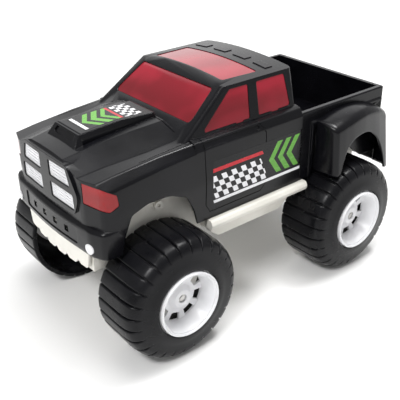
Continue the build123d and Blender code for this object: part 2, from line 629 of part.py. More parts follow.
def rim():
    """Deep-dish rim on its axis: barrel, back flange, windowed face and hub tube."""
    (lip_x, lip_r), (step_x, step_r), (dish_x, dish_r), (foot_x, foot_r) = RIM_DISH
    barrel = turned([(RIM_BACK_X, foot_r), (RIM_BACK_X, RIM_R), (RIM_FLANGE_X[0], RIM_R),
                     (RIM_FLANGE_X[0], RIM_FLANGE_R), (RIM_FLANGE_X[1], RIM_FLANGE_R), (RIM_FLANGE_X[1], RIM_R),
                     (RIM_OUT_X, RIM_R), (lip_x, lip_r), (step_x, step_r), (dish_x, dish_r), (foot_x, foot_r)])
    face = turned([(RIM_BACK_X, HUB_TUBE_R - 1), (RIM_BACK_X, RIM_R - 1), (RIM_FACE_X, RIM_R - 1),
                   (RIM_FACE_X, HUB_TUBE_R - 1)])
    bore = AXLE_R + AXLE_CLEARANCE
    hub = turned([(RIM_BACK_X, bore), (RIM_BACK_X, RIM_BOSS_R[0]), (RIM_FACE_X, RIM_BOSS_R[0]),
                  (RIM_BOSS_X, RIM_BOSS_R[1]), (RIM_BOSS_X, HUB_POCKET_R), (HUB_POCKET_X, HUB_POCKET_R),
                  (HUB_POCKET_X, bore)])
    tube = turned([(HUB_TUBE_X, bore), (HUB_TUBE_X, HUB_TUBE_R), (RIM_BACK_X, HUB_TUBE_R), (RIM_BACK_X, bore)])
    inner_r, outer_r = RIM_WINDOW_R
    for index in range(RIM_WINDOWS):
        middle = (index + RIM_WINDOW_TURN) * 2 * pi / RIM_WINDOWS
        corners = []
        for r, turn in ((inner_r, -1), (inner_r, 1), (outer_r, 1), (outer_r, -1)):
            angle = middle + turn * radians(RIM_WINDOW_SPREAD)
            corners.append((r * cos(angle), r * sin(angle), 1.5))
        face = face - prism_x(corners, 100, 120)
    return barrel + face + hub + tube


def build():
    parts = {
        "body_shell": body_shell(),
        "window_moulding": window_moulding(),
        "grille_insert": grille_insert(),
        "chassis": chassis(),
        "body_screws": body_screws(),
    }
    handed = {"headlight": headlight(), "fog_lamp": fog_lamp()}
    wheel = {"tyre": tyre(), "rim": rim()}
    for side, sign in SIDE_SIGN.items():
        for name, shape in handed.items():
            parts[name + "_" + side] = shape if sign > 0 else mirror(shape, about=Plane.YZ)
        for end, y in AXLE_Y.items():
            for name, shape in wheel.items():
                placed = shape if sign > 0 else mirror(shape, about=Plane.YZ)
                parts[name + "_" + end + "_" + side] = Pos(0, y, HUB_Z) * placed
    for end, y in AXLE_Y.items():
        parts["axle_" + end] = axle(y)
    return parts


if __name__ == "__main__":
    os.makedirs("parts", exist_ok=True)
    for name, shape in build().items():
        export_step(shape, "parts/" + name + ".step")
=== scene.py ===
"""Looks of a toy monster pickup truck: moulded black shell, red windows, lugged tyres and white rims.

The truck's own frame has z up, the nose towards -y, the left side towards +x and the floor at z = 0.
A length is in millimetres where the comment over it says so, and in metres elsewhere.
"""

from math import cos, pi, radians, sin

import bmesh
import bpy
import numpy as np
from mathutils import Matrix, Vector


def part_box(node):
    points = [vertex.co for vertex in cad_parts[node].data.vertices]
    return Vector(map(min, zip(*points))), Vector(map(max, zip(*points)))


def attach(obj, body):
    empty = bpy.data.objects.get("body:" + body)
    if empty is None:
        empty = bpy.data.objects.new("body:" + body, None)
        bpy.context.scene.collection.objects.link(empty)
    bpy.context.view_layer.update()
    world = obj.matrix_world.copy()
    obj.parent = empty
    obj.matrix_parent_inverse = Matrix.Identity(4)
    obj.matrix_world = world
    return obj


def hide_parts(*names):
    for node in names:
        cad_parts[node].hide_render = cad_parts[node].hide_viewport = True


bl_info = {
    "name": "Toy monster pickup truck",
    "version": (1, 0, 0),
    "blender": (4, 5, 0),
    "location": "3D View > Sidebar > Toy truck",
    "description": "Builds the finished pieces of a moulded toy pickup truck over its packed model",
    "category": "Object",
}

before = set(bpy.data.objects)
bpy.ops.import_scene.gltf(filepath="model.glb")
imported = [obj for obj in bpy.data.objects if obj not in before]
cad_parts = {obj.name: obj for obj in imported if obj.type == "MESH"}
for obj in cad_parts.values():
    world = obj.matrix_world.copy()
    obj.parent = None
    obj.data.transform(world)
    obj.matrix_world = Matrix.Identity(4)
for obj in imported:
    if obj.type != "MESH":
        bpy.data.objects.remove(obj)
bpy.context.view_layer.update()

MM = 0.001
ENDS = ("front", "rear")
# the sides with the sign of x there
SIDES = {"left": 1.0, "right": -1.0}
TRUCK = "truck"
# metres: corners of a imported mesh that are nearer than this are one
MERGE = 0.00001


def wheel_body(end, side):
    return "wheel_" + end + "_" + side


def axle_line(end, side):
    """y and z of the wheel's axle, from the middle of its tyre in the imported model."""
    low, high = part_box("tyre_" + end + "_" + side)
    return (low[1] + high[1]) / 2, (low[2] + high[2]) / 2


# Material expressions


class Wire:
    """A value in a finish's node tree. Sums, products and comparisons of it add Math nodes."""

    def __init__(self, finish, socket):
        self.finish = finish
        self.socket = socket

    def math(self, operation, *values):
        return self.finish.add("ShaderNodeMath", {"operation": operation}, dict(enumerate(values)))

    def __add__(self, other):
        return self.math("ADD", self, other)

    __radd__ = __add__

    def __sub__(self, other):
        return self.math("SUBTRACT", self, other)

    def __mul__(self, other):
        return self.math("MULTIPLY", self, other)

    __rmul__ = __mul__

    def __truediv__(self, other):
        return self.math("DIVIDE", self, other)

    def __mod__(self, other):
        return self.math("FLOORED_MODULO", self, other)

    def __gt__(self, other):
        return self.math("GREATER_THAN", self, other)

    def __lt__(self, other):
        return self.math("LESS_THAN", self, other)

    def __abs__(self):
        return self.math("ABSOLUTE", self)

    def floor(self):
        return self.math("FLOOR", self)

    def ramp(self, low, high):
        """0 below low, 1 above high, smooth between."""
        values = {"Value": self, "From Min": low, "From Max": high}
        return self.finish.add("ShaderNodeMapRange", {"interpolation_type": "SMOOTHSTEP"}, values)


class Finish:
    """A procedural material on one Principled shader that reads Object coordinates."""

    def __init__(self, name):
        self.material = bpy.data.materials.new(name)
        self.material.use_nodes = True
        self.tree = self.material.node_tree
        self.shader = self.tree.nodes["Principled BSDF"]
        self.place = self.add("ShaderNodeTexCoord", output="Object")

    def add(self, kind, settings=None, values=None, output=0):
        """Adds a node: its settings first, then the values or links of its sockets."""
        node = self.tree.nodes.new(kind)
        for name, value in (settings or {}).items():
            setattr(node, name, value)
        for name, value in (values or {}).items():
            self.feed(node.inputs[name], value)
        return Wire(self, node.outputs[output])

    def feed(self, socket, value):
        if isinstance(value, Wire):
            self.tree.links.new(value.socket, socket)
        else:
            socket.default_value = value

    def noise(self, size, detail=3.0, stretch=(1.0, 1.0, 1.0)):
        """Noise from 0 to 1 whose blobs are about size metres across, longer where stretch is small."""
        place = self.add("ShaderNodeVectorMath", {"operation": "MULTIPLY"}, {0: self.place, 1: stretch})
        return self.add("ShaderNodeTexNoise", None, {"Vector": place, "Scale": 1.0 / size, "Detail": detail})

    def axis(self, name):
        """One coordinate in millimetres."""
        return self.add("ShaderNodeSeparateXYZ", None, {"Vector": self.place}, name) * 1000.0

    def mix(self, share, first, second):
        values = {0: share, 6: rgba(first), 7: rgba(second)}
        return self.add("ShaderNodeMix", {"data_type": "RGBA"}, values, 2)

    def relief(self, height, depth, round_edges=0.0):
        """Surface normal with height times depth metres of relief, over edges rounded to a radius."""
        values = {"Height": height, "Distance": depth, "Strength": 1.0}
        if round_edges:
            edges = self.add("ShaderNodeBevel", {"samples": 6}, {"Radius": round_edges})
            values["Normal"] = edges
        return self.add("ShaderNodeBump", None, values)

    def dress(self, **values):
        """Sets the shader's sockets, named with underscores for spaces."""
        for name, value in values.items():
            self.feed(self.shader.inputs[name.replace("_", " ")], value)
        return self.material


def rgba(colour):
    return colour if isinstance(colour, Wire) else (*colour[:3], 1.0)


def moulded_plastic(name, colour, stain, roughness, grain, round_edges, specular=0.5):
    """Plain moulded plastic: slow changes of shade and gloss, a fine grain, and rounded edges."""
    finish = Finish(name)
    clouds = finish.noise(0.045, 4.0)
    grit = finish.noise(0.0011, 2.0)
    flow = finish.noise(0.012, 3.0, (1.0, 0.35, 1.0))
    shade = (clouds * 0.7 + flow * 0.3).ramp(0.38, 0.66)
    return finish.dress(
        Base_Color=finish.mix(shade, colour, stain),
        Roughness=roughness + clouds * 0.10 + flow * 0.06 - 0.08,
        Normal=finish.relief(grit + flow * 0.5, grain, round_edges),
        Specular_IOR_Level=specular,
    )


# millimetres: height over which the painted sheen turns the red paler; and the share of y that counts as
# height
PAINTED_SHEEN_FADE = 46.0
PAINTED_SHEEN_SLANT = 0.12
# millimetres: how far over the top of a headlight the painted sheen would make its red palest
LAMP_PAINTED_SHEEN_RISE = 6.0


def red_glazing(name, colour, haze_and_painted_sheen, sheen_top_z):
    """Clear red plastic, thick enough to look full: soft clouds, and a painted sheen that makes it paler
    towards the top edge and the rear, in place of the reflection of the light overhead.

    The last argument is the height in millimetres where the painted sheen is palest; the sheen fades in over
    the fade height set above.
    """
    finish = Finish(name)
    streaks = finish.noise(0.05, 2.0, (1.0, 0.5, 1.6))
    clouds = finish.noise(0.09, 2.0)
    veil = (streaks * 0.6 + clouds * 0.4).ramp(0.42, 0.6)
    # painted sheen: the red turns paler towards the top and the rear, standing in for the reflection of the
    # light overhead
    painted_sheen = (finish.axis("Z") + finish.axis("Y") * PAINTED_SHEEN_SLANT).ramp(sheen_top_z - PAINTED_SHEEN_FADE, sheen_top_z)
    smears = finish.noise(0.02, 3.0, (0.5, 1.0, 1.0))
    return finish.dress(
        # the clouds give a paler red at random, the painted sheen a paler red towards the top and the rear
        Base_Color=finish.mix(veil * 0.5 + painted_sheen * 0.5, colour, haze_and_painted_sheen),
        Roughness=0.1 + smears * 0.12,
        Normal=finish.relief(finish.noise(0.003, 2.0), 0.00001, 0.0005),
        Specular_IOR_Level=0.35,
        Coat_Weight=0.2,
        Coat_Roughness=0.06,
    )


def turned_steel(name, colour):
    """Drawn steel: fine lines along the rod and small changes of gloss."""
    finish = Finish(name)
    lines = finish.noise(0.0006, 2.0, (0.05, 1.0, 1.0))
    clouds = finish.noise(0.006, 3.0)
    return finish.dress(
        Base_Color=finish.mix(clouds.ramp(0.4, 0.7), colour, [value * 0.7 for value in colour]),
        Metallic=1.0,
        Roughness=0.28 + lines * 0.16 + clouds * 0.08,
        Normal=finish.relief(lines, 0.00001, 0.0003),
    )


# Pieces


def new_piece(name, mesh, material, body):
    """An object at the origin that rides on a body and takes its finish from a slot."""
    piece = bpy.data.objects.new(name, mesh)
    bpy.context.scene.collection.objects.link(piece)
    piece.data.materials.clear()
    piece.data.materials.append(material)
    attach(piece, body)
    return piece


def dressed(node, material, body, crease=42.0, reshape=None):
    """A smooth-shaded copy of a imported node, its loose triangles merged, which stands for the node."""
    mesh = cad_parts[node].data.copy()
    if "custom_normal" in mesh.attributes:
        mesh.attributes.remove(mesh.attributes["custom_normal"])
    work = bmesh.new()
    work.from_mesh(mesh)
    bmesh.ops.remove_doubles(work, verts=work.verts, dist=MERGE)
    if reshape:
        reshape(work)
    work.to_mesh(mesh)
    work.free()
    mesh.polygons.foreach_set("use_smooth", np.ones(len(mesh.polygons), bool))
    mesh.set_sharp_from_angle(angle=radians(crease))
    piece = new_piece(node + "_finish", mesh, material, body)
    weights = piece.modifiers.new("even shading", "WEIGHTED_NORMAL")
    weights.keep_sharp = True
    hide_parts(node)
    return piece


def walled(piece, thickness):
    """Gives an open sheet a wall, in millimetres, behind its faces."""
    wall = piece.modifiers.new("wall", "SOLIDIFY")
    wall.thickness = thickness * MM
    wall.offset = -1.0


def grid_mesh(name, points, wrap_u, wrap_v, crease=40.0):
    """Mesh of a grid of points shaped (rows, columns, 3), closed along a direction where it wraps.

    Its faces look along the direction down the rows crossed with the direction along a row.
    """
    rows, columns = points.shape[:2]
    index = np.arange(rows * columns).reshape(rows, columns)
    row = np.arange(rows if wrap_u else rows - 1)[:, None]
    column = np.arange(columns if wrap_v else columns - 1)[None, :]
    below = (row + 1) % rows
    beside = (column + 1) % columns
    faces = np.stack([index[row, column], index[below, column], index[below, beside], index[row, beside]], -1)
    mesh = bpy.data.meshes.new(name)
    mesh.from_pydata(points.reshape(-1, 3), [], faces.reshape(-1, 4))
    mesh.polygons.foreach_set("use_smooth", np.ones(len(mesh.polygons), bool))
    mesh.set_sharp_from_angle(angle=radians(crease))
    return mesh


def softened(profile, rounds):
    """A closed profile with its corners cut, where each side keeps the points at a fifth and four fifths."""
    for _ in range(rounds):
        after = np.roll(profile, -1, axis=0)
        profile = np.stack([profile * 0.8 + after * 0.2, profile * 0.2 + after * 0.8], 1)
        profile = profile.reshape(-1, profile.shape[-1])
    return profile


# columns, millimetres: x from the truck's middle, radius of the lugs' tops, radius between the lugs
TYRE_PROFILE = np.array([
    (68.0, 66.4, 64.6), (69.4, 67.0, 65.2), (88.0, 67.0, 65.0), (105.0, 67.0, 64.6), (113.0, 66.2, 63.4),
    (118.0, 64.7, 61.8), (121.6, 62.2, 59.4), (123.9, 58.9, 56.6), (124.9, 55.6, 54.8), (125.2, 53.4, 53.4),
    (126.2, 47.2, 47.2), (127.3, 42.6, 42.6), (127.9, 38.4, 38.4), (127.6, 36.5, 36.5), (126.2, 35.9, 35.9),
    (122.5, 35.9, 35.9), (122.5, 50.0, 50.0), (118.0, 57.0, 57.0), (111.0, 60.4, 60.4), (68.0, 60.4, 60.4),
])


# angles in one pitch of the lugs: groove, flank, top, flank and groove
LUG_STEPS = (2, 8, 3, 8, 2)


def lug_angles(lugs, half, slope):
    """Angles round the tyre and the lug wave there: 1 on a lug and 0 in a groove.

    Down a flank the wave is (1 - f ** 3) ** 0.5, where f runs from 0 at the lug's top to 1 at the groove.
    """
    knots = np.array([-0.5, -half - slope, -half, half, half + slope, 0.5])
    spans = zip(knots, knots[1:], LUG_STEPS)
    pitch = np.concatenate([np.linspace(start, end, count, endpoint=False) for start, end, count in spans])
    flank = np.clip((np.abs(pitch) - half) / slope, 0.0, 1.0)
    wave = (1.0 - flank ** 3.0) ** 0.5
    angles = (pitch[None, :] + np.arange(lugs)[:, None]) * 2.0 * pi / lugs - pi / 2
    return angles.reshape(-1), np.tile(wave, lugs)


# columns, millimetres: x from the truck's middle and radius, from the hub's pocket over the face, the dish
# and the lip, round the barrel and the flange, and back along the hub tube
RIM_PROFILE = np.array([
    (112.5, 2.55), (112.5, 4.6), (116.1, 4.6), (116.5, 5.0), (116.5, 9.2), (116.2, 9.7), (111.3, 13.2),
    (111.0, 13.8), (111.0, 18.4), (111.0, 23.0), (111.0, 27.4), (111.4, 27.7), (128.0, 30.9), (128.4, 31.2),
    (128.5, 32.5), (128.8, 32.8), (130.2, 32.9), (130.5, 33.3), (130.5, 34.3), (130.2, 34.6), (122.0, 34.6),
    (122.0, 43.5), (119.0, 43.5), (119.0, 34.6), (108.5, 34.6), (108.5, 30.0), (108.5, 27.4), (108.5, 23.0),
    (108.5, 18.4), (108.5, 13.8), (108.5, 6.5), (73.0, 6.5), (73.0, 2.55),
])
# rows of the profile at a window's inner and outer edge, in front and at the back
RIM_FRONT_ROWS = (8, 10)
RIM_BACK_ROWS = (28, 26)
RIM_WINDOWS = 8
# degrees
RIM_WINDOW_HALF = 14.0
RIM_FIRST_WINDOW = 27.0


def rim_mesh(name, end, side, roll):
    """The closed profile carried round the axle, with windows between its front and back rows.

    The angles fall on the windows' edges. The faces of a window are left out in front and at the back, and
    four walls join the two openings.
    """
    y, z = axle_line(end, side)
    window = np.linspace(-RIM_WINDOW_HALF, RIM_WINDOW_HALF, 5)
    spoke = np.linspace(RIM_WINDOW_HALF, 360.0 / RIM_WINDOWS - RIM_WINDOW_HALF, 5)[1:-1]
    pitch = np.concatenate([window, spoke])
    starts = np.arange(RIM_WINDOWS)[:, None] * 360.0 / RIM_WINDOWS + RIM_FIRST_WINDOW
    angles = np.radians((starts + pitch[None, :]).reshape(-1)) + roll
    x, radius = RIM_PROFILE[:, 0:1] * MM, RIM_PROFILE[:, 1:2] * MM
    across = np.broadcast_to(x, (len(x), len(angles)))
    points = np.stack([across * SIDES[side], y + radius * np.cos(angles), z + radius * np.sin(angles)], -1)
    rows, columns = points.shape[:2]
    index = np.arange(rows * columns).reshape(rows, columns)
    after = np.roll(index, -1, axis=0)
    faces = np.stack([index, after, np.roll(after, -1, axis=1), np.roll(index, -1, axis=1)], -1)
    open_column = np.arange(columns) % len(pitch) < len(window) - 1
    keep = np.ones((rows, columns), bool)
    (front_in, front_out), (back_in, back_out) = RIM_FRONT_ROWS, RIM_BACK_ROWS
    keep[front_in:front_out, open_column] = False
    keep[back_out:back_in, open_column] = False
    walls = []
    cut = np.flatnonzero(open_column)
    for front, back in ((front_in, back_in), (front_out, back_out)):
        walls.append(np.stack([
            index[front, cut], index[back, cut], index[back, cut + 1], index[front, cut + 1],
        ], -1))
    for edge in (0, len(window) - 1):
        column = np.arange(RIM_WINDOWS) * len(pitch) + edge
        for step in range(front_out - front_in):
            front, back = front_in + step, back_in - step
            walls.append(np.stack([
                index[front, column], index[front + 1, column], index[back - 1, column], index[back, column],
            ], -1))
    mesh = bpy.data.meshes.new(name)
    mesh.from_pydata(points.reshape(-1, 3), [], np.concatenate([faces[keep]] + walls))
    work = bmesh.new()
    work.from_mesh(mesh)
    bmesh.ops.recalc_face_normals(work, faces=work.faces)
    work.to_mesh(mesh)
    work.free()
    mesh.polygons.foreach_set("use_smooth", np.ones(len(mesh.polygons), bool))
    mesh.set_sharp_from_angle(angle=radians(38.0))
    return mesh


def tyre_mesh(name, end, side, sizes):
    """The closed profile carried round the axle.

    At each angle the radius is the groove's radius plus the lug wave times the height of the lug there.
    """
    y, z = axle_line(end, side)
    profile = softened(TYRE_PROFILE, 2) * MM
    angles, wave = lug_angles(sizes.lugs, sizes.lug_share / 2, sizes.lug_slope)
    radius = profile[:, 2:3] + (profile[:, 1:2] - profile[:, 2:3]) * wave[None, :]
    across = np.broadcast_to(profile[:, 0:1], radius.shape)
    sign = SIDES[side]
    points = np.stack([across * sign, y + radius * np.cos(angles), z + radius * np.sin(angles)], -1)
    if sign > 0:
        points = points[::-1]
    return grid_mesh(name, points, True, True)


def laid_on(piece, target, gap):
    """The piece pressed on a target along x, with a gap, as a plain mesh."""
    press = piece.modifiers.new("press", "SHRINKWRAP")
    press.target = target
    press.wrap_method = "PROJECT"
    press.use_project_x = True
    press.use_negative_direction = True
    press.use_positive_direction = True
    press.wrap_mode = "ABOVE_SURFACE"
    press.offset = gap
    ready = piece.evaluated_get(bpy.context.evaluated_depsgraph_get())
    mesh = bpy.data.meshes.new_from_object(ready)
    piece.modifiers.clear()
    piece.data = mesh
    return piece


# millimetres: ends along y of the bulge over a rear wheel, and its reach and top at places along y
FLARE_Y = (85.5, 199.2)
FLARE_PLACES = (85.5, 94.0, 104.0, 118.0, 130.0, 142.0, 154.0, 166.0, 176.0, 186.0, 199.2)
FLARE_REACH = (115.0, 115.0, 114.8, 113.8, 112.3, 110.3, 107.8, 105.3, 103.0, 100.5, 97.5)
FLARE_TOP = (189.5, 190.8, 192.5, 194.4, 195.3, 195.2, 193.8, 191.0, 187.6, 183.0, 175.0)
# outward run of its side for each unit of drop, at the same places
FLARE_LEAN = (0.07, 0.07, 0.07, 0.07, 0.07, 0.08, 0.09, 0.11, 0.13, 0.14, 0.15)
# millimetres: roundings of its top, front end and rear end, x of its root, and z of its front and rear foot
FLARE_ROUND_TOP = 11.5
FLARE_ROUND_FRONT = 8.0
FLARE_ROUND_REAR = 3.0
FLARE_ROOT = 85.0
FLARE_FOOT = (129.0, 107.0)
# millimetres: y and z of the arch over the wheel
FLARE_ARCH = np.array([
    (94.0, 129.0), (97.5, 129.5), (100.5, 143.0), (107.0, 157.5), (118.0, 165.8), (133.0, 168.2),
    (148.0, 166.6), (161.0, 160.5), (172.0, 151.0), (181.0, 138.5), (186.8, 125.0), (189.6, 112.0),
    (190.5, 107.0), (193.0, 107.0),
])
# the last section before the rear end's rounding, and the power of the roundings' superellipses
FLARE_LAST_Y = 194.5
END_POWER = 2.4
TOP_POWER = 2.3
# millimetres: thickness of the flares and of the scoop's lid
WALL = 2.4
LID_WALL = 1.5
# millimetres: heights on the shell's side with x there
SIDE_HEIGHTS = (122.0, 165.0, 200.0, 208.0)
SIDE_X = (87.0, 89.0, 88.0, 84.5)
# millimetres: y and z round the skirt under the tailgate, and its half width
SKIRT_SECTION = np.array([
    (199.6, 130.0), (199.6, 118.0), (199.4, 108.4), (199.0, 107.0), (197.6, 107.0), (197.2, 108.4),
    (197.2, 118.0), (197.2, 130.0),
])
SKIRT_HALF = 97.0
# metres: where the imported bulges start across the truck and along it, the last y of their faces and of their
# corners, the height under which they are taken away, and the height under which they are pressed flat
BULGE_X = 0.0863
BULGE_Y = 0.074
BULGE_FACE_Y = 0.1985
BULGE_CORNER_Y = 0.1999
BULGE_LOW_Z = 0.150
BULGE_TOP_Z = 0.1995


def on_bulge(face):
    return all(abs(vert.co.x) > BULGE_X and BULGE_Y < vert.co.y < BULGE_FACE_Y for vert in face.verts)


def without_flares(work):
    """Presses the copy's bulges over the rear wheels flat, and removes what hangs below."""
    wide = [face for face in work.faces if on_bulge(face)]
    edges = dict.fromkeys(edge for face in wide for edge in face.edges)
    corners = dict.fromkeys(vert for face in wide for vert in face.verts)
    geometry = [*wide, *edges, *corners]
    level = (0.0, 0.0, BULGE_LOW_Z)
    bmesh.ops.bisect_plane(work, geom=geometry, dist=MERGE, plane_co=level, plane_no=(0.0, 0.0, 1.0))
    limit = BULGE_LOW_Z + 10 * MERGE
    low = [face for face in work.faces if on_bulge(face) and all(vert.co.z < limit for vert in face.verts)]
    bmesh.ops.delete(work, geom=low, context="FACES")
    for vert in work.verts:
        if BULGE_Y < vert.co.y < BULGE_CORNER_Y and vert.co.z < BULGE_TOP_Z and abs(vert.co.x) > BULGE_X:
            side = np.interp(vert.co.z / MM, SIDE_HEIGHTS, SIDE_X) * MM
            vert.co.x = max(-side, min(side, vert.co.x))


def corner_cut(line, rounds):
    """An open line with its corners cut, its ends kept."""
    for _ in range(rounds):
        first = line[:-1] * 0.75 + line[1:] * 0.25
        second = line[:-1] * 0.25 + line[1:] * 0.75
        middle = np.stack([first, second], 1).reshape(-1, line.shape[-1])
        line = np.concatenate([line[:1], middle, line[-1:]])
    return line


def quarter(count, power):
    """Rise and run of a quarter of a superellipse, from 0 to 1 each, at even angles."""
    angle = np.linspace(0.0, pi / 2, count)
    return 1.0 - np.cos(angle) ** (2.0 / power), np.sin(angle) ** (2.0 / power)


def flare_mesh(name, sign):
    """Bulge over a rear wheel: sections across the truck, carried along it.

    A section starts on the shell's side, runs out over a superelliptic shoulder to its reach and leans down
    to the arch. Its reach is its place's reach times a rise at the front end and a fall at the rear end.
    """
    rise, run = quarter(9, END_POWER)
    fall, back = quarter(7, END_POWER)
    arch = corner_cut(FLARE_ARCH, 2)
    front_y = FLARE_Y[0] + FLARE_ROUND_FRONT * rise
    rear_y = (FLARE_Y[1] - FLARE_ROUND_REAR * fall)[::-1]
    y = np.concatenate([front_y, arch[1:-1, 0], [FLARE_LAST_Y], rear_y])
    share = np.concatenate([run, np.ones(len(y) - len(run) - len(back)), back[::-1]])
    low = np.interp(y, arch[:, 0], arch[:, 1], FLARE_FOOT[0], FLARE_FOOT[1])
    top = np.interp(y, FLARE_PLACES, FLARE_TOP)
    reach = np.interp(y, FLARE_PLACES, FLARE_REACH)
    lean = np.interp(y, FLARE_PLACES, FLARE_LEAN)
    drop, out = quarter(13, TOP_POWER)
    down = np.linspace(0.0, 1.0, 17)[1:]
    shoulder_z = top[None, :] - FLARE_ROUND_TOP * drop[:, None]
    side_z = (top - FLARE_ROUND_TOP)[None, :] + (low - top + FLARE_ROUND_TOP)[None, :] * down[:, None]
    z = np.concatenate([shoulder_z, side_z])
    width = np.concatenate([out, np.ones(len(down))])[:, None] * (reach - FLARE_ROOT)[None, :]
    width = width + lean[None, :] * np.clip((top - FLARE_ROUND_TOP)[None, :] - z, 0.0, None)
    x = (FLARE_ROOT + width * share[None, :]) * sign
    points = np.stack([x, np.broadcast_to(y, x.shape), z], -1) * MM
    return grid_mesh(name, points if sign > 0 else points[::-1], False, False, 60.0)


# millimetres: y and z of the hood scoop's top line, x and z of its side, ends of its lid along y, z of the
# lid's lower edge, rounding of its upper edge, its height over the scoop and half of the eased stretch
SCOOP_LINE = ((-171.0, -120.0, -83.0), (222.0, 224.45, 222.5))
SCOOP_SIDE = ((20.5, 226.0), (28.5, 205.0))
SCOOP_SPAN = (-168.0, -82.5)
SCOOP_FOOT_Z = 209.0
SCOOP_EDGE_R = 1.6
LID_GAP = 0.15
SCOOP_EASE = 6.0


def scoop_top(y):
    """Height of the scoop's top at y, its two slopes eased into each other over the middle."""
    ys, zs = SCOOP_LINE
    near = [np.interp(y + step, ys, zs) for step in np.linspace(-SCOOP_EASE, SCOOP_EASE, 13)]
    return sum(near) / len(near) + LID_GAP


def lid_mesh(name):
    """Top and sides of the scoop, a section carried along the hood.

    The section rises along a side, turns over an arc of the edge's radius and crosses to the middle, and its
    other half is the mirror image.
    """
    y = np.linspace(*SCOOP_SPAN, 45)
    top = scoop_top(y)
    (x_high, z_high), (x_low, z_low) = SCOOP_SIDE
    slope = (x_low - x_high) / (z_high - z_low)
    half = x_high + (z_high - top) * slope + LID_GAP
    lean = np.arctan(slope)
    turn = np.linspace(lean, pi / 2, 9)[:, None]
    run = SCOOP_EDGE_R * np.tan((pi / 2 - lean) / 2)
    arc_x = half - run + SCOOP_EDGE_R * np.cos(turn)
    arc_z = top - SCOOP_EDGE_R + SCOOP_EDGE_R * np.sin(turn)
    foot_z = np.full_like(y, SCOOP_FOOT_Z)
    foot_x = arc_x[0] + (arc_z[0] - foot_z) * slope
    across = np.linspace(1.0, 0.0, 7)[1:, None] * arc_x[-1]
    x = np.concatenate([foot_x[None, :], arc_x, across])
    z = np.concatenate([foot_z[None, :], arc_z, np.broadcast_to(top, across.shape)])
    x = np.concatenate([x, -x[-2::-1]])
    z = np.concatenate([z, z[-2::-1]])
    points = np.stack([x, np.broadcast_to(y, x.shape), z], -1) * MM
    return grid_mesh(name, points[::-1], False, False, 60.0)


def skirt_mesh(name):
    """Closed section of the skirt carried across the truck and drawn together at its ends."""
    section = softened(SKIRT_SECTION, 1)
    x = np.concatenate([[-SKIRT_HALF], np.linspace(-SKIRT_HALF, SKIRT_HALF, 25), [SKIRT_HALF]])
    hold = np.ones(len(x))
    hold[[0, -1]] = 0.0
    middle = section.mean(0)
    spread = middle + (section - middle)[:, None, :] * hold[None, :, None]
    points = np.concatenate([np.broadcast_to(x[None, :, None], spread.shape[:2] + (1,)), spread], -1) * MM
    return grid_mesh(name, points[::-1], True, False, 40.0)


# Settings that a user may change


def colour_setting(name, description, default):
    return bpy.props.FloatVectorProperty(
        name=name, description=description, default=default, size=3, min=0.0, max=1.0, subtype="COLOR"
    )


def length_setting(name, description, default):
    return bpy.props.FloatProperty(
        name=name, description=description, default=default, min=0.0, precision=5, unit="LENGTH",
        subtype="DISTANCE",
    )


def share_setting(name, description, default):
    return bpy.props.FloatProperty(name=name, description=description, default=default, subtype="FACTOR")


def power_setting(name, description, default):
    return bpy.props.FloatProperty(
        name=name, description=description, default=default, min=0.0, unit="POWER"
    )


class TruckColours(bpy.types.PropertyGroup):
    """Colours of the mouldings"""

    shell: colour_setting("Shell", "Black of the shell", (0.0022, 0.0022, 0.0032))
    shell_stain: colour_setting("Shell cast", "Paler cast in the black", (0.0042, 0.0042, 0.0058))
    red: colour_setting("Windows", "Red of the window moulding", (0.13, 0.0006, 0.005))
    # paler red of the windows' random clouds, and of the painted sheen towards their top and rear
    haze_and_painted_sheen: colour_setting("Window haze", "Paler red of the haze", (0.33, 0.010, 0.026))
    lamp_red: colour_setting("Headlights", "Red of the headlights", (0.20, 0.0005, 0.002))
    # paler red of the headlights' random clouds, and of the painted sheen towards their top
    lamp_haze_and_painted_sheen: colour_setting("Headlight haze", "Paler red of the headlights", (0.36, 0.001, 0.004))
    white: colour_setting("White", "White of the grille, fog lamps and rims", (0.80, 0.80, 0.815))
    white_stain: colour_setting("White cast", "Greyer cast in the white", (0.73, 0.73, 0.75))
    ivory: colour_setting("Ivory", "Ivory of the chassis", (0.80, 0.78, 0.72))
    ivory_stain: colour_setting("Ivory cast", "Darker cast in the ivory", (0.71, 0.69, 0.63))
    tyre: colour_setting("Tyre", "Black of the tyres", (0.0040, 0.0040, 0.0050))
    tyre_stain: colour_setting("Tyre cast", "Paler cast in the black of the tyres", (0.0075, 0.0075, 0.0090))
    steel: colour_setting("Steel", "Steel of the axles and screws", (0.58, 0.57, 0.55))
    print_white: colour_setting("Print white", "White of the printed graphics", (0.80, 0.80, 0.82))
    print_green: colour_setting("Print green", "Green of the printed graphics", (0.12, 0.36, 0.05))
    print_red: colour_setting("Print red", "Red of the printed graphics", (0.50, 0.02, 0.03))


class TruckSizes(bpy.types.PropertyGroup):
    """Sizes of the pieces that this file makes"""

    lugs: bpy.props.IntProperty(name="Lugs", description="Lugs round a tyre", default=28, min=8, max=60)
    lug_share: share_setting("Lug share", "Share of the pitch that a lug's top takes", 0.62)
    lug_slope: share_setting("Lug slope", "Share of the pitch that a lug's rounded flank takes", 0.15)
    edge: length_setting("Edge", "Radius of the moulded edges", 0.0007)
    print_gap: length_setting("Print gap", "Height of the printed graphics over the shell", 0.00012)
    rear_roll: bpy.props.FloatProperty(
        name="Rear rims", description="Turn of the rear rims on their axle", default=radians(24.5),
        subtype="ANGLE",
    )


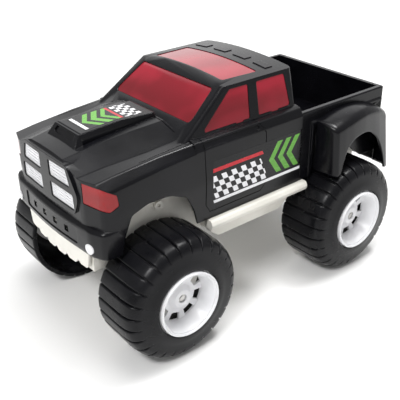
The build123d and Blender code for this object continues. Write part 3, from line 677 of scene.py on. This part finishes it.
class TruckStage(bpy.types.PropertyGroup):
    """Floor, light and camera"""

    floor: colour_setting("Floor", "Colour of the floor", (0.93, 0.928, 0.922))
    daylight: bpy.props.FloatProperty(
        name="Daylight", description="Strength of the world", default=0.48, min=0.0
    )
    key_power: power_setting("Key lamp", "Power of the broad lamp overhead", 44.0)
    glint_power: power_setting("Small lamps", "Power of the two lamps that give the glints", 12.0)
    card_power: power_setting("Card", "Power of the pale card behind the truck", 30.0)


# Operators


class TRUCK_OT_shell(bpy.types.Operator):
    """Finish the black shell"""

    bl_idname = "truck.shell"
    bl_label = "Shell"

    def execute(self, context):
        colours = context.scene.truck_colours
        edge = context.scene.truck_sizes.edge
        black = moulded_plastic("shell black", colours.shell, colours.shell_stain, 0.25, 0.000008, edge, 0.24)
        dressed("body_shell", black, TRUCK, reshape=without_flares)
        return {"FINISHED"}


class TRUCK_OT_flares(bpy.types.Operator):
    """Make the bulges over the rear wheels and the skirt under the tailgate"""

    bl_idname = "truck.flares"
    bl_label = "Rear flares"

    def execute(self, context):
        black = bpy.data.materials["shell black"]
        for side, sign in SIDES.items():
            name = "flare_" + side
            walled(new_piece(name, flare_mesh(name, sign), black, TRUCK), WALL)
        new_piece("tail_skirt", skirt_mesh("tail_skirt"), black, TRUCK)
        return {"FINISHED"}


class TRUCK_OT_scoop_lid(bpy.types.Operator):
    """Make the top of the hood scoop"""

    bl_idname = "truck.scoop_lid"
    bl_label = "Scoop lid"

    def execute(self, context):
        black = bpy.data.materials["shell black"]
        walled(new_piece("scoop_lid", lid_mesh("scoop_lid"), black, TRUCK), LID_WALL)
        return {"FINISHED"}


class TRUCK_OT_windows(bpy.types.Operator):
    """Finish the clear red window moulding"""

    bl_idname = "truck.windows"
    bl_label = "Windows"

    def execute(self, context):
        colours = context.scene.truck_colours
        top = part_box("window_moulding")[1][2] / MM
        # the painted sheen on the windows is palest at the top of the moulding
        red = red_glazing("window red", colours.red, colours.haze_and_painted_sheen, top)
        dressed("window_moulding", red, TRUCK)
        return {"FINISHED"}


class TRUCK_OT_grille(bpy.types.Operator):
    """Finish the white grille pads"""

    bl_idname = "truck.grille"
    bl_label = "Grille"

    def execute(self, context):
        colours = context.scene.truck_colours
        white = moulded_plastic("grille white", colours.white, colours.white_stain, 0.34, 0.000008, 0.0003)
        dressed("grille_insert", white, TRUCK)
        return {"FINISHED"}


class TRUCK_OT_lamps(bpy.types.Operator):
    """Finish the headlights and the fog lamps"""

    bl_idname = "truck.lamps"
    bl_label = "Lamps"

    def execute(self, context):
        colours = context.scene.truck_colours
        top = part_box("headlight_left")[1][2] / MM
        # the painted sheen on the headlights is palest a little over their top
        red = red_glazing("lamp red", colours.lamp_red, colours.lamp_haze_and_painted_sheen, top + LAMP_PAINTED_SHEEN_RISE)
        white = moulded_plastic("lamp white", colours.white, colours.white_stain, 0.25, 0.000006, 0.0004)
        for side in SIDES:
            dressed("headlight_" + side, red, TRUCK)
            dressed("fog_lamp_" + side, white, TRUCK)
        return {"FINISHED"}


class TRUCK_OT_chassis(bpy.types.Operator):
    """Finish the ivory chassis"""

    bl_idname = "truck.chassis"
    bl_label = "Chassis"

    def execute(self, context):
        colours = context.scene.truck_colours
        edge = context.scene.truck_sizes.edge
        ivory = moulded_plastic("chassis ivory", colours.ivory, colours.ivory_stain, 0.38, 0.00002, edge)
        dressed("chassis", ivory, TRUCK)
        return {"FINISHED"}


class TRUCK_OT_tyres(bpy.types.Operator):
    """Make the four lugged tyres"""

    bl_idname = "truck.tyres"
    bl_label = "Tyres"

    def execute(self, context):
        colours = context.scene.truck_colours
        sizes = context.scene.truck_sizes
        black = moulded_plastic("tyre black", colours.tyre, colours.tyre_stain, 0.28, 0.000012, 0.0006, 0.16)
        for end in ENDS:
            for side in SIDES:
                name = "tyre_" + end + "_" + side
                mesh = tyre_mesh(name, end, side, sizes)
                piece = new_piece(name + "_finish", mesh, black, wheel_body(end, side))
                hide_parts(name)
        return {"FINISHED"}


class TRUCK_OT_rims(bpy.types.Operator):
    """Make the four white rims"""

    bl_idname = "truck.rims"
    bl_label = "Rims"

    def execute(self, context):
        colours = context.scene.truck_colours
        sizes = context.scene.truck_sizes
        white = moulded_plastic("rim white", colours.white, colours.white_stain, 0.3, 0.00001, 0.0004)
        for end in ENDS:
            roll = -sizes.rear_roll if end == "rear" else 0.0
            for side in SIDES:
                name = "rim_" + end + "_" + side
                mesh = rim_mesh(name, end, side, roll)
                piece = new_piece(name + "_finish", mesh, white, wheel_body(end, side))
                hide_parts(name)
        return {"FINISHED"}


class TRUCK_OT_steel(bpy.types.Operator):
    """Finish the axles and the body screws"""

    bl_idname = "truck.steel"
    bl_label = "Axles and screws"

    def execute(self, context):
        steel = turned_steel("axle steel", context.scene.truck_colours.steel)
        for node in ("axle_front", "axle_rear", "body_screws"):
            dressed(node, steel, TRUCK, 30.0)
        return {"FINISHED"}


def check_mask(u, v, size):
    """1 on every second square of a board of squares, size wide, along u and v."""
    return ((u / size).floor() + (v / size).floor()) % 2.0 > 0.5


def between(value, low, high):
    return (value > low) * (value < high)


def printed(finish, black, layers):
    """Gloss print on a black film: each layer is a mask and a colour, later ones on top."""
    colour = finish.mix(0.0, black, black)
    for mask, ink in layers:
        colour = finish.mix(mask, colour, ink)
    scuffs = finish.noise(0.004, 3.0, (1.0, 0.3, 1.0))
    return finish.dress(
        Base_Color=colour,
        Roughness=0.22 + scuffs * 0.1,
        Normal=finish.relief(scuffs, 0.000004),
        Specular_IOR_Level=0.28,
    )


# millimetres: y of the ends, z of the lower and upper edge, and z of the red stripe and of the chevrons
DOOR_PRINT = (-63.0, 64.0, 139.0, 186.0)
DOOR_STRIPE = (174.0, 178.0)
DOOR_ARROWS = (146.0, 182.0)
# run towards the rear for each unit of height: of the squares' slant, and of a chevron's arms
PRINT_LEAN = 0.45
DOOR_BEND = 0.7
# millimetres: sides of the squares, their height over the lower edge, and the chevrons' pitch and width
PRINT_SQUARE = 6.5
FLAG_LIFT = 5.0
ARROW_PITCH = 13.0
ARROW_WIDTH = 7.5
FLAG_ROWS = 4
# metres from the truck's middle: where the door graphics are before they are pressed on the door
DOOR_PRINT_START = 0.1
# millimetres: y of the ends and half width, then sizes as for the doors
SCOOP_PRINT = (-160.0, -92.0, 17.5)
SCOOP_SQUARE = 5.0
SCOOP_BEND = 0.6
SCOOP_ARROW_PITCH = 11.0
SCOOP_ARROW_WIDTH = 6.5


class TRUCK_OT_door_print(bpy.types.Operator):
    """Lay the printed stripes, squares and chevrons on both doors"""

    bl_idname = "truck.door_print"
    bl_label = "Door graphics"

    def execute(self, context):
        colours = context.scene.truck_colours
        gap = context.scene.truck_sizes.print_gap
        front, back, low, high = DOOR_PRINT
        finish = Finish("door print")
        along = finish.axis("Y")
        up = finish.axis("Z")
        lean = along + (up - low) * PRINT_LEAN
        squares = check_mask(lean, up - low - FLAG_LIFT, PRINT_SQUARE)
        flag = squares * between(up, low + FLAG_LIFT, low + FLAG_LIFT + FLAG_ROWS * PRINT_SQUARE)
        flag = flag * between(lean, front + 6.0, front + 78.0)
        base = between(up, low, low + 3.5) * between(lean, front + 2.0, back)
        stripe = between(up, *DOOR_STRIPE) * between(lean, front + 8.0, front + 84.0)
        point = along - abs(up - sum(DOOR_ARROWS) / 2) * DOOR_BEND
        arrows = (point % ARROW_PITCH < ARROW_WIDTH) * between(point, front + 75.5, front + 111.0)
        arrows = arrows * between(up, *DOOR_ARROWS)
        layers = [
            (flag, colours.print_white),
            (base, colours.print_white),
            (stripe, colours.print_red),
            (arrows, colours.print_green),
        ]
        ink = printed(finish, colours.shell, layers)
        shell = bpy.data.objects["body_shell_finish"]
        y, z = np.meshgrid(np.linspace(front, back, 65) * MM, np.linspace(low, high, 25) * MM)
        for side, sign in SIDES.items():
            name = "door_print_" + side
            points = np.stack([np.full_like(y, DOOR_PRINT_START * sign), y, z], -1)
            mesh = grid_mesh(name, points if sign < 0 else points[::-1], False, False)
            laid_on(new_piece(name, mesh, ink, TRUCK), shell, gap)
        return {"FINISHED"}


class TRUCK_OT_scoop_print(bpy.types.Operator):
    """Lay the printed graphics on the hood scoop"""

    bl_idname = "truck.scoop_print"
    bl_label = "Scoop graphics"

    def execute(self, context):
        colours = context.scene.truck_colours
        gap = context.scene.truck_sizes.print_gap
        front, back, half = SCOOP_PRINT
        finish = Finish("scoop print")
        across = finish.axis("X")
        along = finish.axis("Y")
        edge = between(across, -half + 1.0, half - 1.0)
        squares = check_mask(across, along - back + 1.5, SCOOP_SQUARE)
        flag = squares * between(along, back - 21.5, back - 1.5) * edge
        point = along - abs(across) * SCOOP_BEND
        arrows = point % SCOOP_ARROW_PITCH < SCOOP_ARROW_WIDTH
        arrows = arrows * between(point, front + 7.0, front + 33.0) * edge
        stripe = between(along, back - 27.0, back - 24.0) * edge
        nose = between(along, front + 1.5, front + 5.0) * edge
        layers = [
            (flag, colours.print_white),
            (nose, colours.print_white),
            (arrows, colours.print_green),
            (stripe, colours.print_red),
        ]
        ink = printed(finish, colours.shell, layers)
        x, y = np.meshgrid(np.linspace(-half, half, 21) * MM, np.linspace(front, back, 41) * MM)
        z = scoop_top(y / MM) * MM + gap
        mesh = grid_mesh("scoop_print", np.stack([x, y, z], -1)[::-1], False, False)
        new_piece("scoop_print", mesh, ink, TRUCK)
        return {"FINISHED"}


# degrees, metres and pixels of a 400 x 400 frame
CAMERA_PLACE = (0.55067, -0.44749, 0.4738)
CAMERA_AZIMUTH = 51.40
CAMERA_ELEVATION = 28.75
CAMERA_ROLL = -0.83
CAMERA_LENS = 61.56
CAMERA_SHIFT = (-0.0018, -0.0009)


def place_camera(scene):
    """Camera of the photograph: turned by azimuth and elevation towards the truck, then rolled."""
    azimuth = radians(CAMERA_AZIMUTH)
    elevation = radians(CAMERA_ELEVATION)
    roll = radians(CAMERA_ROLL)
    back = Vector((sin(azimuth) * cos(elevation), -cos(azimuth) * cos(elevation), sin(elevation)))
    right = (-back).cross(Vector((0.0, 0.0, 1.0))).normalized()
    up = right.cross(-back)
    lens = bpy.data.cameras.new("camera")
    lens.sensor_width = 36.0
    lens.lens = CAMERA_LENS
    lens.shift_x, lens.shift_y = CAMERA_SHIFT
    lens.clip_start = 0.01
    camera = bpy.data.objects.new("camera", lens)
    turn = Matrix((cos(roll) * right + sin(roll) * up, cos(roll) * up - sin(roll) * right, back)).transposed()
    camera.matrix_world = Matrix.Translation(CAMERA_PLACE) @ turn.to_4x4()
    scene.collection.objects.link(camera)
    scene.camera = camera


# name, its power's setting, place, width and height, and the share of its light that diffuse shading gets
LAMPS = (
    ("broad", "key_power", (0.2, 0.2, 3.4), (1.6, 1.6), 1.0),
    ("overhead", "glint_power", (0.16, 0.56, 1.60), (0.50, 0.30), 0.15),
    ("ahead", "glint_power", (0.46, -0.98, 1.25), (0.45, 0.24), 0.1),
    ("card", "card_power", (-2.1, 1.7, 1.5), (4.0, 2.6), 0.25),
)
LAMP_AIM = (0.0, 0.0, 0.1)
FLOOR_REACH = 5.0


def area_lamp(scene, name, place, size, power, diffuse):
    """A rectangular lamp that looks at the truck, with the share of its light that diffuse shading gets."""
    lamp = bpy.data.lights.new(name, "AREA")
    lamp.shape = "RECTANGLE"
    lamp.size, lamp.size_y = size
    lamp.energy = power
    lamp.diffuse_factor = diffuse
    holder = bpy.data.objects.new(name, lamp)
    aim = (Vector(LAMP_AIM) - Vector(place)).to_track_quat("-Z", "Y")
    holder.matrix_world = Matrix.Translation(place) @ aim.to_matrix().to_4x4()
    scene.collection.objects.link(holder)


class TRUCK_OT_stage(bpy.types.Operator):
    """Make the pale floor, the soft light and the camera"""

    bl_idname = "truck.stage"
    bl_label = "Stage"

    def execute(self, context):
        scene = context.scene
        stage = scene.truck_stage
        finish = Finish("floor paper")
        clouds = finish.noise(0.4, 3.0)
        grain = finish.noise(0.002, 2.0)
        darker = [value * 0.985 for value in stage.floor]
        paper = finish.dress(
            Base_Color=finish.mix(clouds, stage.floor, darker),
            Roughness=0.8 + grain * 0.1,
            Specular_IOR_Level=0.2,
        )
        reach = np.linspace(-FLOOR_REACH, FLOOR_REACH, 41)
        x, y = np.meshgrid(reach, reach)
        mesh = grid_mesh("floor", np.stack([x, y, np.zeros_like(x)], -1)[::-1], False, False)
        mesh.materials.append(paper)
        floor = bpy.data.objects.new("floor", mesh)
        scene.collection.objects.link(floor)
        world = bpy.data.worlds.new("studio")
        world.use_nodes = True
        sky = world.node_tree.nodes["Background"]
        sky.inputs["Color"].default_value = (1.0, 1.0, 1.0, 1.0)
        sky.inputs["Strength"].default_value = stage.daylight
        scene.world = world
        for name, power, place, size, diffuse in LAMPS:
            area_lamp(scene, name, place, size, getattr(stage, power), diffuse)
        place_camera(scene)
        scene.view_settings.view_transform = "Standard"
        return {"FINISHED"}


STEPS = (
    TRUCK_OT_shell, TRUCK_OT_flares, TRUCK_OT_scoop_lid, TRUCK_OT_windows, TRUCK_OT_grille, TRUCK_OT_lamps,
    TRUCK_OT_chassis, TRUCK_OT_tyres, TRUCK_OT_rims, TRUCK_OT_steel, TRUCK_OT_door_print,
    TRUCK_OT_scoop_print, TRUCK_OT_stage,
)


class TRUCK_PT_panel(bpy.types.Panel):
    """Lists the truck's pieces and settings"""

    bl_idname = "TRUCK_PT_panel"
    bl_label = "Toy truck"
    bl_space_type = "VIEW_3D"
    bl_region_type = "UI"
    bl_category = "Toy truck"

    def draw(self, context):
        layout = self.layout
        for group in (context.scene.truck_colours, context.scene.truck_sizes, context.scene.truck_stage):
            box = layout.box()
            for name in group.__annotations__:
                box.prop(group, name)
        for step in STEPS:
            layout.operator(step.bl_idname)


GROUPS = {"truck_colours": TruckColours, "truck_sizes": TruckSizes, "truck_stage": TruckStage}


def register():
    for group in GROUPS.values():
        bpy.utils.register_class(group)
    for name, group in GROUPS.items():
        setattr(bpy.types.Scene, name, bpy.props.PointerProperty(type=group))
    for kind in (*STEPS, TRUCK_PT_panel):
        bpy.utils.register_class(kind)


def unregister():
    for kind in (TRUCK_PT_panel, *reversed(STEPS)):
        bpy.utils.unregister_class(kind)
    for name in GROUPS:
        delattr(bpy.types.Scene, name)
    for group in GROUPS.values():
        bpy.utils.unregister_class(group)


def main():
    register()
    bpy.ops.truck.shell()
    bpy.ops.truck.flares()
    bpy.ops.truck.scoop_lid()
    bpy.ops.truck.windows()
    bpy.ops.truck.grille()
    bpy.ops.truck.lamps()
    bpy.ops.truck.chassis()
    bpy.ops.truck.tyres()
    bpy.ops.truck.rims()
    bpy.ops.truck.steel()
    bpy.ops.truck.door_print()
    bpy.ops.truck.scoop_print()
    bpy.ops.truck.stage()


if __name__ == "__main__":
    main()
